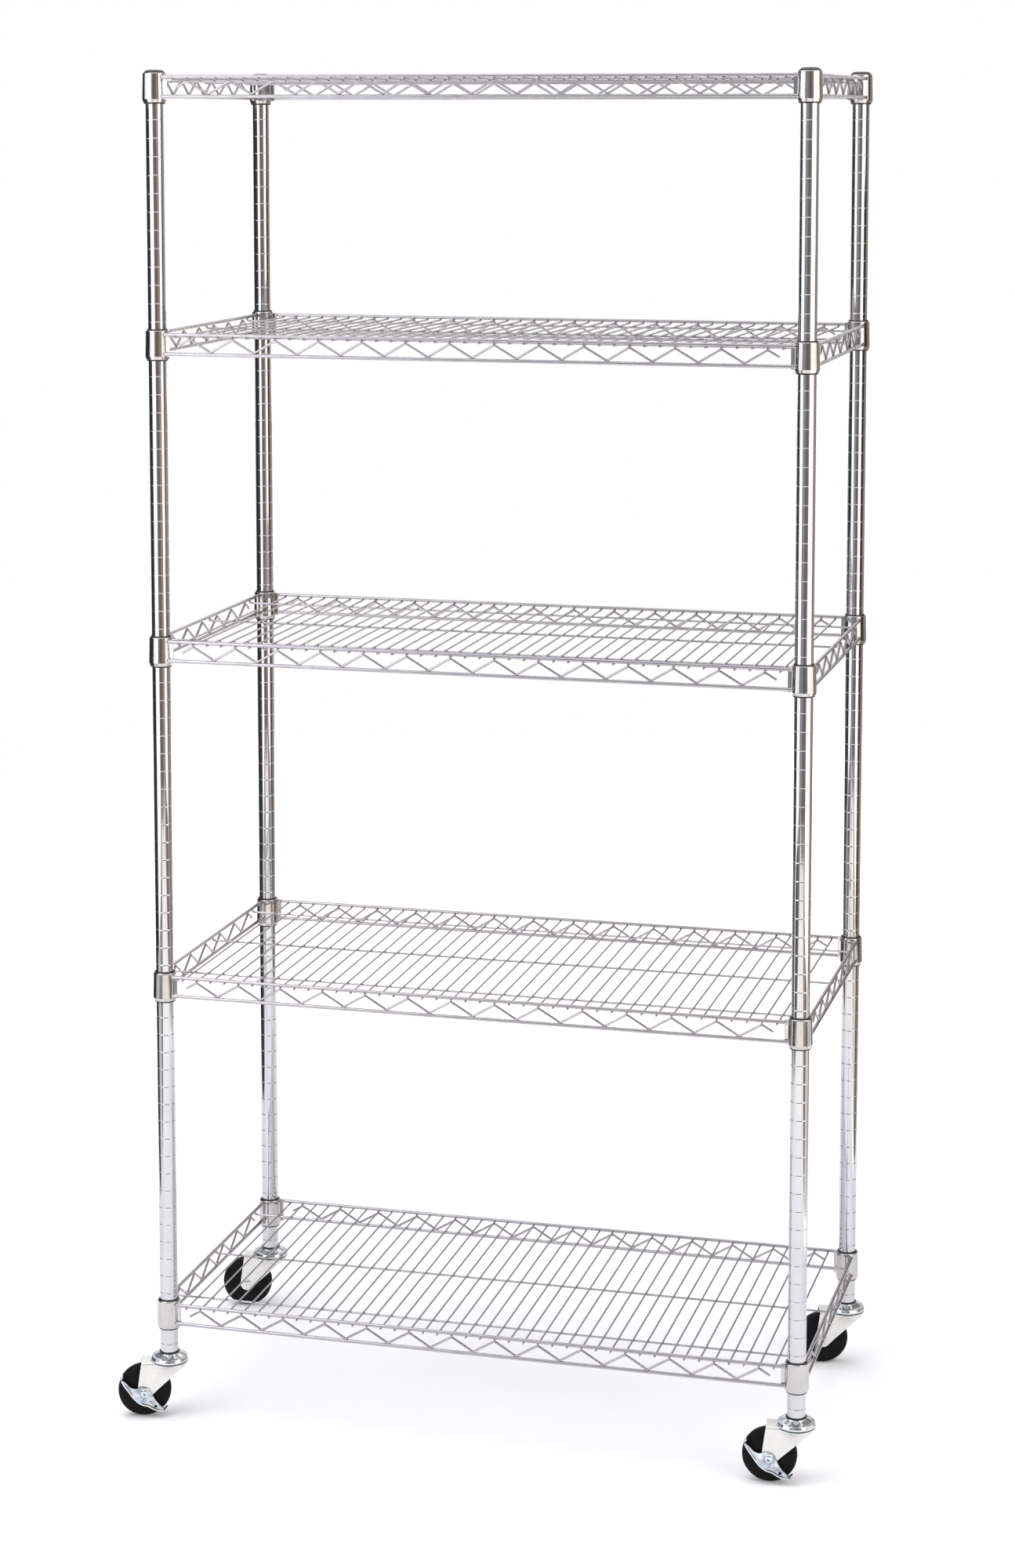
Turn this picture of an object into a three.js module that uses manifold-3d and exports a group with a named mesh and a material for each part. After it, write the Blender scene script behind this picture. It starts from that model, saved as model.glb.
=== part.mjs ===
// Wire shelving rack on casters: four grooved posts, five welded wire shelves held by
// tapered split sleeves, and four swivel casters, the front two with a rocker brake.
// Millimetres, +Z up, front towards -Y. The origin is on the floor, in the middle of
// the whole rack's outline with its casters.

import * as THREE from 'three';
import { mergeVertices } from 'three/addons/utils/BufferGeometryUtils.js';
import Module from 'manifold-3d';

const wasm = await Module();
wasm.setup();

// ---------------------------------------------------------------- driving dimensions

const POST_SPACING_X = 914.4;
const POST_SPACING_Y = 444.5;
const POST_RADIUS = 12.7;
const POST_WALL = 1.2;
const POST_LENGTH = 1828.8;
const GROOVE_PITCH = 25.4;
const CAP_PLUG = 12;
const CAP_HEIGHT = 4.6;

const CASTER_HEIGHT = 94.5;
const WHEEL_RADIUS = 38.1;
const WHEEL_WIDTH = 25;
const WHEEL_SIDES = 20;
const CASTER_TRAIL = 36;

const FIRST_SHELF_TOP = 173;
const SHELF_GROOVES = [0, 19, 38, 55, 69];

const GAP = 0.3;
const ROUND = 12;

// ---------------------------------------------------------------- worked-out sizes

const POST_BORE = POST_RADIUS - POST_WALL;
const HALF_X = POST_SPACING_X / 2;
const HALF_Y = POST_SPACING_Y / 2;

// A sleeve is widest at its foot, so a loaded collar wedges itself onto it. Heights
// here and below are measured from the sleeve's top edge.
const SLEEVE_LENGTH = 44.5;
const SLEEVE_TOP_RADIUS = 14.2;
const SLEEVE_FOOT_RADIUS = 14.9;
const SLEEVE_SLIT = 1;

const COLLAR_TOP = -1.8;
const COLLAR_FOOT = -42.5;
const COLLAR_RADIUS = 16.5;
const COLLAR_CHAMFER = 3;
const WING_REACH = 20;
const WING_THICKNESS = 2;
const WING_TOP = -4.5;
const WING_FOOT = -38.5;

const RAIL_RADIUS = 2.5;
const RAIL_OFFSET = 9;
const TOP_RAIL_Z = -7.5;
const BOTTOM_RAIL_Z = -34.5;
const RAIL_ROOT = 10;

// Wires are drawn square, with the same section area as the round wire.
const SQUARE_OF_ROUND = Math.sqrt(Math.PI) / 2;
const CROSS_WIRE = 2.3 * SQUARE_OF_ROUND;
const LONG_WIRE = 3 * SQUARE_OF_ROUND;
const TRUSS_WIRE = 3.3 * SQUARE_OF_ROUND;

const CROSS_WIRES = 42;
const FIRST_WIRE_INSET = 30.2;
const WIRE_PITCH = (POST_SPACING_X - 2 * FIRST_WIRE_INSET) / (CROSS_WIRES - 1);
const CROSS_WIRE_OVERHANG = 0.6;
const MIDDLE_WIRE = CROSS_WIRES / 2;
const CLEAR_OF_RAILS = POST_SPACING_Y / 2 - 20;
const CROSS_WIRE_TOP = TOP_RAIL_Z - RAIL_RADIUS - GAP;
const CROSS_WIRE_FOOT = CROSS_WIRE_TOP - CROSS_WIRE;
const LONG_WIRE_INSET = 45;

const TRUSS_PERIOD = 3 * WIRE_PITCH;
const TRUSS_BEND_RISE = 0.6 * TRUSS_WIRE;
const SIDE_TRUSS_PERIOD = 62.5;
const FRONT_TRUSS_PEAKS = 14;
const SIDE_TRUSS_PEAKS = 6;

const STEM_PLUG = 34;
const CUP_RADIUS = 27;
const PLATE_TOP = 81.7;
const PLATE_THICKNESS = 2.5;
const LEG_GAP = WHEEL_WIDTH / 2 + 1.3;
const LEG_THICKNESS = 2.5;
const AXLE_RADIUS = 4;
const KING_PIN_RADIUS = 5.2;
const BUSH_RADIUS = 7;
const CROWN_OVERHANG = 4.5;
const CROWN_RADIUS = 26;
const CROWN_NECK = 18;
const LEG_END_RADIUS = 10.5;
const LEVER_THICKNESS = 2;
const LEVER_BORE = 4.6;
const LEVER_SHOE_REACH = 40.4;
const LEVER_SHOE_THICKNESS = 1.8;
const LEVER_SHOE_DEPTH = 9;
const LEVER_TILT = THREE.MathUtils.degToRad(37);

// ---------------------------------------------------------------- materials

const material = (color, roughness, metalness) =>
  new THREE.MeshStandardMaterial({ color, roughness, metalness });

const chrome = () => material(0xd3d5da, 0.12, 1);
const wireChrome = () => material(0xc6c7ca, 0.25, 1);
const zinc = () => material(0xd8d7d0, 0.35, 0.9);
const sleevePlastic = () => material(0x131316, 0.45, 0);
const capPlastic = () => material(0x2a2b2f, 0.35, 0.2);
const wheelRubber = () => material(0x17171a, 0.55, 0);
const bushPlastic = () => material(0xb9bab4, 0.5, 0);

// ---------------------------------------------------------------- shape helpers

// A manifold solid of a closed geometry, with shared vertices merged and the
// zero-width triangles at a lathe's axis dropped.
function solidOf(geometry) {
  const bare = geometry.clone();
  bare.deleteAttribute('normal');
  bare.deleteAttribute('uv');
  const merged = mergeVertices(bare, 1e-4);
  const index = merged.index.array;
  const kept = [];
  for (let i = 0; i < index.length; i += 3) {
    const [a, b, c] = [index[i], index[i + 1], index[i + 2]];
    if (a !== b && b !== c && c !== a) kept.push(a, b, c);
  }
  return new wasm.Manifold(new wasm.Mesh({
    numProp: 3,
    vertProperties: Float32Array.from(merged.attributes.position.array),
    triVerts: Uint32Array.from(kept),
  }));
}

function geometryOf(solid) {
  const mesh = solid.getMesh();
  const geometry = new THREE.BufferGeometry();
  geometry.setAttribute('position', new THREE.BufferAttribute(Float32Array.from(mesh.vertProperties), 3));
  geometry.setIndex(new THREE.BufferAttribute(Uint32Array.from(mesh.triVerts), 1));
  geometry.computeVertexNormals();
  return geometry;
}

// Joins the pieces into one body, then cuts the cutters out of it.
function weld(pieces, cutters = []) {
  const joined = pieces.map(solidOf).reduce((a, b) => a.add(b));
  return geometryOf(cutters.map(solidOf).reduce((a, b) => a.subtract(b), joined));
}

// A solid of revolution about +Z from [radius, height] pairs listed bottom to top.
function turned(profile, sides = ROUND) {
  const points = profile.map(([r, z]) => new THREE.Vector2(r, z));
  return new THREE.LatheGeometry(points, sides).rotateX(Math.PI / 2);
}

// A tube about +Z: the profile is the closed outline of its wall.
function turnedRing(profile, sides = ROUND) {
  return turned([...profile, profile[0]], sides);
}

function box(x0, x1, y0, y1, z0, z1) {
  const geometry = new THREE.BoxGeometry(x1 - x0, y1 - y0, z1 - z0);
  return geometry.translate((x0 + x1) / 2, (y0 + y1) / 2, (z0 + z1) / 2);
}

function rodX(x0, x1, y, z, radius, sides = 6) {
  const rod = new THREE.CylinderGeometry(radius, radius, x1 - x0, sides);
  return rod.rotateZ(Math.PI / 2).translate((x0 + x1) / 2, y, z);
}

function rodY(y0, y1, x, z, radius, sides = 6) {
  const rod = new THREE.CylinderGeometry(radius, radius, y1 - y0, sides);
  return rod.translate(x, (y0 + y1) / 2, z);
}

// Extrudes an outline drawn in X and Z through y0 to y1.
function plateXZ(shape, y0, y1, curveSegments = 4) {
  const plate = new THREE.ExtrudeGeometry(shape, { depth: y1 - y0, bevelEnabled: false, curveSegments });
  return plate.rotateX(Math.PI / 2).translate(0, y1, 0);
}

function named(name, geometry, paint) {
  const mesh = new THREE.Mesh(geometry, paint);
  mesh.name = name;
  return mesh;
}

// ---------------------------------------------------------------- posts and sleeves

function postGeometry() {
  return turnedRing([
    [POST_BORE, 0],
    [POST_RADIUS, 0],
    [POST_RADIUS, POST_LENGTH],
    [POST_BORE, POST_LENGTH],
  ]);
}

// A low domed cap whose plug sits in the post's bore.
function capGeometry() {
  const plugRadius = POST_BORE - GAP;
  const rimRadius = POST_RADIUS + 0.3;
  const rim = GAP;
  return turned([
    [0, -CAP_PLUG],
    [plugRadius, -CAP_PLUG],
    [plugRadius, rim],
    [rimRadius, rim],
    [rimRadius, rim + 2.6],
    [rimRadius - 2.5, rim + 4.4],
    [0, rim + CAP_HEIGHT],
  ]);
}

function sleeveGeometry() {
  const bore = POST_RADIUS + GAP;
  const ring = turnedRing([
    [bore, -SLEEVE_LENGTH],
    [SLEEVE_FOOT_RADIUS, -SLEEVE_LENGTH],
    [SLEEVE_TOP_RADIUS, 0],
    [bore, 0],
  ]);
  const slit = box(0, 2 * SLEEVE_FOOT_RADIUS, -SLEEVE_SLIT / 2, SLEEVE_SLIT / 2, -SLEEVE_LENGTH - 1, 1);
  return weld([ring], [slit.rotateZ(Math.PI / 4)]);
}

// ---------------------------------------------------------------- shelves

// The wire mat: cross wires from front to back, welded onto the middle long wire. The
// middle cross wire is three lengths end to end, so that the top of its middle length,
// where the shelf's load face is stated, is a face that lies clear of the rails.
function deckGeometry() {
  const reach = HALF_Y + RAIL_OFFSET + RAIL_RADIUS + CROSS_WIRE_OVERHANG;
  const half = CROSS_WIRE / 2;
  const pieces = [];
  for (let i = 0; i < CROSS_WIRES; i += 1) {
    const x = -HALF_X + FIRST_WIRE_INSET + i * WIRE_PITCH;
    const ends = i === MIDDLE_WIRE ? [-reach, -CLEAR_OF_RAILS, CLEAR_OF_RAILS, reach] : [-reach, reach];
    for (let k = 0; k + 1 < ends.length; k += 1) {
      pieces.push(box(x - half, x + half, ends[k], ends[k + 1], CROSS_WIRE_FOOT, CROSS_WIRE_TOP));
    }
  }
  const end = HALF_X + RAIL_OFFSET - TRUSS_WIRE / 2 - GAP;
  const longHalf = LONG_WIRE / 2;
  pieces.push(box(-end, end, -longHalf, longHalf, CROSS_WIRE_FOOT - LONG_WIRE, CROSS_WIRE_FOOT));
  return weld(pieces);
}

// The zigzag wire's outline in its own plane: a line that bends at each peak and
// valley and stops half way down past the first and last peak, given the wire's width.
function zigzagShape(peaks, period, peakZ, valleyZ) {
  const slope = (peakZ - valleyZ) / (period / 2);
  const first = -((peaks - 1) * period) / 2;
  const midZ = (peakZ + valleyZ) / 2;
  const line = [[first - period / 4, midZ]];
  for (let i = 0; i < peaks; i += 1) {
    line.push([first + i * period, peakZ]);
    if (i < peaks - 1) line.push([first + (i + 0.5) * period, valleyZ]);
  }
  line.push([-first + period / 4, midZ]);
  const rise = (TRUSS_WIRE / 2) * Math.hypot(1, slope);
  const upper = line.map(([u, z]) => new THREE.Vector2(u, z + rise));
  const lower = line.map(([u, z]) => new THREE.Vector2(u, z - rise));
  return new THREE.Shape([...lower, ...upper.reverse()]);
}

function zigzagX(y) {
  const peakZ = CROSS_WIRE_FOOT - GAP - TRUSS_BEND_RISE;
  const valleyZ = BOTTOM_RAIL_Z + RAIL_RADIUS;
  const shape = zigzagShape(FRONT_TRUSS_PEAKS, TRUSS_PERIOD, peakZ, valleyZ);
  return plateXZ(shape, y - TRUSS_WIRE / 2, y + TRUSS_WIRE / 2);
}

function zigzagY(x) {
  const peakZ = TOP_RAIL_Z - RAIL_RADIUS - TRUSS_WIRE / 4;
  const valleyZ = BOTTOM_RAIL_Z + RAIL_RADIUS;
  const shape = zigzagShape(SIDE_TRUSS_PEAKS, SIDE_TRUSS_PERIOD, peakZ, valleyZ);
  const wire = plateXZ(shape, -TRUSS_WIRE / 2, TRUSS_WIRE / 2);
  return wire.rotateZ(Math.PI / 2).translate(x, 0, 0);
}

// A long wire under the mat, with its ends turned up into the side rails.
function longWire(y) {
  const top = CROSS_WIRE_FOOT - GAP;
  const foot = top - LONG_WIRE;
  const outer = HALF_X + RAIL_OFFSET + LONG_WIRE / 2;
  const inner = outer - LONG_WIRE;
  const shape = new THREE.Shape([
    new THREE.Vector2(-outer, foot),
    new THREE.Vector2(outer, foot),
    new THREE.Vector2(outer, TOP_RAIL_Z),
    new THREE.Vector2(inner, TOP_RAIL_Z),
    new THREE.Vector2(inner, top),
    new THREE.Vector2(-inner, top),
    new THREE.Vector2(-inner, TOP_RAIL_Z),
    new THREE.Vector2(-outer, TOP_RAIL_Z),
  ]);
  return plateXZ(shape, y - LONG_WIRE / 2, y + LONG_WIRE / 2);
}

// One corner: the collar and the two wings that the rails are welded to. signX and
// signY say which corner it is; the wings point to the middle of the shelf.
function cornerPieces(signX, signY) {
  const collar = turned([
    [0, COLLAR_FOOT],
    [COLLAR_RADIUS - 1, COLLAR_FOOT],
    [COLLAR_RADIUS, COLLAR_FOOT + COLLAR_CHAMFER],
    [COLLAR_RADIUS, COLLAR_TOP],
    [0, COLLAR_TOP],
  ]);
  const near = RAIL_OFFSET - RAIL_RADIUS - WING_THICKNESS;
  const far = near + WING_THICKNESS;
  const wingX = box(-WING_REACH, 0, near, far, WING_FOOT, WING_TOP);
  const wingY = box(near, far, -WING_REACH, 0, WING_FOOT, WING_TOP);
  return [collar, wingX, wingY].map((piece) => {
    const turn = Math.atan2(signY, signX) - Math.PI / 4;
    return piece.rotateZ(turn).translate(signX * HALF_X, signY * HALF_Y, 0);
  });
}

function boreCutter(signX, signY) {
  const slope = (SLEEVE_FOOT_RADIUS - SLEEVE_TOP_RADIUS) / SLEEVE_LENGTH;
  const radiusAt = (z) => SLEEVE_TOP_RADIUS + GAP - slope * z;
  const cutter = turned([
    [0, COLLAR_FOOT - 1],
    [radiusAt(COLLAR_FOOT - 1), COLLAR_FOOT - 1],
    [radiusAt(1), 1],
    [0, 1],
  ]);
  return cutter.translate(signX * HALF_X, signY * HALF_Y, 0);
}

// The welded rim: collars, double rails, zigzag wires and the outer two long wires.
function frameGeometry() {
  const corners = [[-1, -1], [1, -1], [-1, 1], [1, 1]];
  const pieces = corners.flatMap(([sx, sy]) => cornerPieces(sx, sy));
  const rootX = HALF_X - RAIL_ROOT;
  const rootY = HALF_Y - RAIL_ROOT;
  for (const side of [-1, 1]) {
    const y = side * (HALF_Y + RAIL_OFFSET);
    const x = side * (HALF_X + RAIL_OFFSET);
    for (const z of [TOP_RAIL_Z, BOTTOM_RAIL_Z]) {
      pieces.push(rodX(-rootX, rootX, y, z, RAIL_RADIUS));
      pieces.push(rodY(-rootY, rootY, x, z, RAIL_RADIUS));
    }
    pieces.push(zigzagX(y), zigzagY(x), longWire(side * (HALF_Y - LONG_WIRE_INSET)));
  }
  return weld(pieces, corners.map(([sx, sy]) => boreCutter(sx, sy)));
}

// ---------------------------------------------------------------- casters

// Caster pieces are drawn about the post's axis, floor at z = 0, trailing to -X.

// Plug, raceway cup and king pin: the part that stays fixed in the post.
function stemGeometry() {
  const plateFoot = PLATE_TOP - PLATE_THICKNESS;
  const headRadius = KING_PIN_RADIUS + 1.8;
  const headFoot = plateFoot - 2.6;
  const plugRadius = POST_BORE - GAP;
  return turned([
    [0, headFoot],
    [headRadius, headFoot],
    [headRadius, plateFoot - GAP],
    [KING_PIN_RADIUS, plateFoot - GAP],
    [KING_PIN_RADIUS, PLATE_TOP + GAP],
    [CUP_RADIUS - 0.5, PLATE_TOP + GAP],
    [CUP_RADIUS, PLATE_TOP + 3],
    [CUP_RADIUS - 5, PLATE_TOP + 7.5],
    [POST_RADIUS + 0.8, CASTER_HEIGHT - GAP],
    [plugRadius, CASTER_HEIGHT - GAP],
    [plugRadius, CASTER_HEIGHT + STEM_PLUG],
    [0, CASTER_HEIGHT + STEM_PLUG],
  ]);
}

// A fork leg: wide under the raceway, narrowing to a round end about the axle, with a
// hollow curve in its right edge.
function legGeometry(y0, y1) {
  const crown = PLATE_TOP - PLATE_THICKNESS / 2;
  const rightEdge = [[-2, 47], [9, 60], [16, 67], [20, crown]];
  const shape = new THREE.Shape();
  shape.moveTo(-CASTER_TRAIL - CROWN_OVERHANG, crown);
  shape.lineTo(-CASTER_TRAIL - LEG_END_RADIUS, WHEEL_RADIUS);
  shape.absarc(-CASTER_TRAIL, WHEEL_RADIUS, LEG_END_RADIUS, Math.PI, 2 * Math.PI - 0.7, false);
  for (const [x, z] of rightEdge) shape.lineTo(x, z);
  const hole = new THREE.Path();
  hole.absarc(-CASTER_TRAIL, WHEEL_RADIUS, AXLE_RADIUS + GAP, 0, 2 * Math.PI, true);
  shape.holes.push(hole);
  return plateXZ(shape, y0, y1, 4);
}

function forkGeometry() {
  const outer = LEG_GAP + LEG_THICKNESS;
  const left = -CASTER_TRAIL - CROWN_OVERHANG;
  const plan = new THREE.Shape();
  plan.moveTo(left, outer);
  plan.lineTo(left, -outer);
  plan.lineTo(-CROWN_NECK, -outer);
  plan.absarc(0, 0, CROWN_RADIUS, -Math.PI * 0.7, Math.PI * 0.7, false);
  plan.lineTo(-CROWN_NECK, outer);
  const hole = new THREE.Path();
  hole.absarc(0, 0, KING_PIN_RADIUS + GAP, 0, 2 * Math.PI, true);
  plan.holes.push(hole);
  const plate = new THREE.ExtrudeGeometry(plan, {
    depth: PLATE_THICKNESS,
    bevelEnabled: false,
    curveSegments: 5,
  }).translate(0, 0, PLATE_TOP - PLATE_THICKNESS);
  return weld([plate, legGeometry(-outer, -LEG_GAP), legGeometry(LEG_GAP, outer)]);
}

// Turned pieces about the axle: drawn about +Z, which then points to the front.
function onAxle(geometry) {
  return geometry.rotateX(Math.PI / 2).translate(-CASTER_TRAIL, 0, WHEEL_RADIUS);
}

// A solid rubber wheel with slightly domed sides. Its tread is a ring of flats that
// touch the real tread's circle, and one of them lies on the floor.
function wheelGeometry() {
  const half = WHEEL_WIDTH / 2;
  const tread = WHEEL_RADIUS / Math.cos(Math.PI / WHEEL_SIDES);
  const side = [
    [BUSH_RADIUS + GAP, half],
    [28, half - 1],
    [tread - 2.5, half - 4],
    [tread, half - 8],
  ];
  const mirrored = side.map(([r, z]) => [r, -z]);
  const wheel = turnedRing([...mirrored, ...side.reverse()], WHEEL_SIDES);
  return onAxle(wheel.rotateZ(Math.PI / WHEEL_SIDES));
}

function bushGeometry() {
  const half = LEG_GAP - GAP;
  return onAxle(turnedRing([
    [AXLE_RADIUS + GAP, -half],
    [BUSH_RADIUS, -half],
    [BUSH_RADIUS, half],
    [AXLE_RADIUS + GAP, half],
  ], 8));
}

// The axle's front head stands clear of whatever is outside the front leg.
function axleGeometry(frontStack) {
  const leg = LEG_GAP + LEG_THICKNESS;
  const front = leg + GAP + frontStack;
  const back = leg + GAP;
  return onAxle(turned([
    [0, -back - 1.8],
    [4.6, -back - 1.8],
    [6, -back],
    [AXLE_RADIUS, -back],
    [AXLE_RADIUS, front],
    [6, front],
    [4.6, front + 1.8],
    [0, front + 1.8],
  ], 8));
}

// The rocker brake: a leaf-shaped plate that hangs mostly below the axle, with a
// drilled hole near one tip and a shoe over the tread at each end.
function leverGeometry() {
  const y1 = -(LEG_GAP + LEG_THICKNESS + GAP);
  const y0 = y1 - LEVER_THICKNESS;
  const tip = LEVER_SHOE_REACH - LEVER_SHOE_THICKNESS / 2;
  const [shoeFoot, shoeTop] = [-5.5, 1.5];
  const shape = new THREE.Shape();
  shape.moveTo(-tip, shoeFoot);
  for (const [x, z] of [
    [-28, -9], [-20, -11.5], [-11, -14.5], [2, -16.5], [10, -15.5], [17, -12.5], [25, -11.5], [33, -9],
    [tip, shoeFoot], [tip, shoeTop], [26, -1], [17, 3], [9, 7], [0, 8.5], [-8, 6], [-14, -1],
    [-22, -4], [-30, -2], [-tip, shoeTop],
  ]) shape.lineTo(x, z);
  for (const [x, z, radius] of [[0, 0, LEVER_BORE], [24.6, -7, 2]]) {
    const hole = new THREE.Path();
    hole.absarc(x, z, radius, 0, 2 * Math.PI, true);
    shape.holes.push(hole);
  }
  const shoes = [-1, 1].map((end) => {
    const reach = [end * LEVER_SHOE_REACH, end * (LEVER_SHOE_REACH - LEVER_SHOE_THICKNESS)];
    return box(Math.min(...reach), Math.max(...reach), y0, y1 + LEVER_SHOE_DEPTH, shoeFoot, shoeTop);
  });
  return weld([plateXZ(shape, y0, y1), ...shoes])
    .rotateY(LEVER_TILT).translate(-CASTER_TRAIL, 0, WHEEL_RADIUS);
}

// ---------------------------------------------------------------- assembly

const CORNERS = [
  { name: 'front_left', x: -HALF_X, y: -HALF_Y, yaw: 20, brake: true },
  { name: 'front_right', x: HALF_X, y: -HALF_Y, yaw: 6, brake: true },
  { name: 'rear_left', x: -HALF_X, y: HALF_Y, yaw: 15, brake: false },
  { name: 'rear_right', x: HALF_X, y: HALF_Y, yaw: 15, brake: false },
];

function casterGroup(corner) {
  const group = new THREE.Group();
  const frontStack = corner.brake ? LEVER_THICKNESS + GAP : 0;
  group.add(
    named(`caster_fork_${corner.name}`, forkGeometry(), zinc()),
    named(`caster_axle_${corner.name}`, axleGeometry(frontStack), zinc()),
    named(`wheel_bush_${corner.name}`, bushGeometry(), bushPlastic()),
    named(`wheel_${corner.name}`, wheelGeometry(), wheelRubber()),
  );
  if (corner.brake) {
    group.add(named(`brake_lever_${corner.name}`, leverGeometry(), zinc()));
  }
  group.position.set(corner.x, corner.y, 0);
  group.rotation.z = THREE.MathUtils.degToRad(corner.yaw);
  return group;
}

function placed(mesh, x, y, z) {
  mesh.position.set(x, y, z);
  return mesh;
}

const rack = new THREE.Group();

for (const corner of CORNERS) {
  const { name, x, y } = corner;
  rack.add(placed(named(`post_${name}`, postGeometry(), chrome()), x, y, CASTER_HEIGHT));
  rack.add(placed(named(`post_cap_${name}`, capGeometry(), capPlastic()), x, y, CASTER_HEIGHT + POST_LENGTH));
  rack.add(placed(named(`caster_stem_${name}`, stemGeometry(), zinc()), x, y, 0));
  rack.add(casterGroup(corner));
}

SHELF_GROOVES.forEach((grooves, index) => {
  const z = FIRST_SHELF_TOP + grooves * GROOVE_PITCH;
  const shelf = `shelf_${index + 1}`;
  rack.add(placed(named(`${shelf}_frame`, frameGeometry(), wireChrome()), 0, 0, z));
  rack.add(placed(named(`${shelf}_wire_mat`, deckGeometry(), wireChrome()), 0, 0, z));
  for (const { name, x, y } of CORNERS) {
    const sleeve = named(`${shelf}_sleeve_${name}`, sleeveGeometry(), sleevePlastic());
    rack.add(placed(sleeve, x, y, z));
  }
});

// The casters trail to one side, so the rack is moved to stand over the origin.
const outline = new THREE.Box3().setFromObject(rack, true);
rack.position.set(-(outline.min.x + outline.max.x) / 2, -(outline.min.y + outline.max.y) / 2, 0);
rack.updateMatrixWorld(true);

const part = new THREE.Group();
part.add(rack);

export default part;
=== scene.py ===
"""Wire shelving rack on casters, in round wire, grooved chrome tube, zinc plate and rubber.

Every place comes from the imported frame. The forms below are drawn in millimetres about their
own origin and turned into metres when a piece is made."""

from math import atan2, cos, exp, pi, radians, sin, sqrt, tan

import bpy
from mathutils import Matrix, Vector


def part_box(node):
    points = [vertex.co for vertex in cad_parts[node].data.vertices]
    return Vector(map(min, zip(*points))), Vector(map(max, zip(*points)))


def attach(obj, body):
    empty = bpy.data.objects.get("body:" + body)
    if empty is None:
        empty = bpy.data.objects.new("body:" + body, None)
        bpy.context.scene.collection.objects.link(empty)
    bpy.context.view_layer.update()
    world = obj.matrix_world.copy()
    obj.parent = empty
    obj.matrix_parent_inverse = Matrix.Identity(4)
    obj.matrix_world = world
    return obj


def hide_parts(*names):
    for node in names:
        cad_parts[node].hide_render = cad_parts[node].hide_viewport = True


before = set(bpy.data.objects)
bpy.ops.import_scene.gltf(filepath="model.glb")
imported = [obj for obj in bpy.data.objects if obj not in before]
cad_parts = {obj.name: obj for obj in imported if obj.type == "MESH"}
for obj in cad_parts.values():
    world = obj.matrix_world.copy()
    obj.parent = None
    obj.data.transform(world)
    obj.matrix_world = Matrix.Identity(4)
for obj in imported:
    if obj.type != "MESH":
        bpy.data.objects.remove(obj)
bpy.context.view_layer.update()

MM = 0.001
CORNERS = ("front_left", "front_right", "rear_left", "rear_right")
BRAKED = ("front_left", "front_right")
SHELVES = (1, 2, 3, 4, 5)

# ---------------------------------------------------------------- places, read from the frame


def middle(node):
    low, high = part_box(node)
    return (low + high) / 2


POSTS = {corner: middle(f"post_{corner}") for corner in CORNERS}
POST_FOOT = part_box("post_front_left")[0].z / MM
POST_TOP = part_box("post_front_left")[1].z / MM
RACK_MIDDLE = sum(POSTS.values(), Vector()) / len(CORNERS)
HALF_X = (POSTS["front_right"].x - POSTS["front_left"].x) / 2 / MM
HALF_Y = (POSTS["rear_left"].y - POSTS["front_left"].y) / 2 / MM
RING_TOPS = {n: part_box(f"shelf_{n}_sleeve_front_left")[1].z for n in SHELVES}
WHEEL_RADIUS = middle("wheel_front_left").z / MM


def trail(corner):
    """From the post's axis to the wheel's middle, seen from above."""
    return (middle(f"wheel_{corner}") - POSTS[corner]).to_2d()


CASTER_TRAIL = trail("front_left").length / MM

# ---------------------------------------------------------------- sizes, in millimetres

POST_RADIUS = 12.7
POST_BORE = 11.5
GROOVE_PITCH = 25.4
GROOVE_ABOVE_RING = 10.0
GROOVE_DEPTH = 0.3
GROOVE_HALF_WIDTH = 0.7
PLAIN_END = 5.0  # the least length of tube beyond the last groove

SLEEVE_LENGTH = 44.5
SLEEVE_BORE = 12.85
SLEEVE_TOP_RADIUS = 14.2
SLEEVE_FOOT_RADIUS = 14.9
SLEEVE_SLOPE = (SLEEVE_FOOT_RADIUS - SLEEVE_TOP_RADIUS) / SLEEVE_LENGTH
SLEEVE_SLIT = radians(2.2)  # half the angle of each slit

COLLAR_TOP = -1.8
COLLAR_FOOT = -42.5
COLLAR_TOP_RADIUS = 16.2
COLLAR_FOOT_RADIUS = 17.1
# A collar's wing: its reach along the rail, its two faces' places, and its heights.
WING_START = 14.4
WING_END = 20.5
WING_NEAR = 4.5
WING_FAR = 6.6
WING_FOOT = -38.5
WING_TOP = -4.5

RAIL_RADIUS = 2.5
RAIL_OFFSET = 9.0
RAIL_END = 13.6
TOP_RAIL_Z = -7.5
BOTTOM_RAIL_Z = -34.5
CROSS_WIRE_RADIUS = 1.3
CROSS_WIRE_Z = -11.1
CROSS_WIRES = 42
FIRST_WIRE_INSET = 30.2
WIRE_PITCH = (2 * HALF_X - 2 * FIRST_WIRE_INSET) / (CROSS_WIRES - 1)
CROSS_WIRE_REACH = HALF_Y + RAIL_OFFSET + RAIL_RADIUS + 0.6
LONG_WIRE_RADIUS = 1.5
LONG_WIRE_Z = CROSS_WIRE_Z - CROSS_WIRE_RADIUS - LONG_WIRE_RADIUS + 0.2
LONG_WIRE_INSET = 45.0
LONG_WIRE_BEND = 3.0
WELD_OVERLAP = 0.4
TRUSS_RADIUS = 1.65
TRUSS_BEND = 4.0
TRUSS_PERIOD = 3 * WIRE_PITCH
TRUSS_PEAKS = 14
TRUSS_PEAK_Z = -13.2
SIDE_TRUSS_PERIOD = 62.5
SIDE_TRUSS_PEAKS = 6
SIDE_TRUSS_PEAK_Z = -11.3
TRUSS_VALLEY_Z = -31.5

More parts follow.
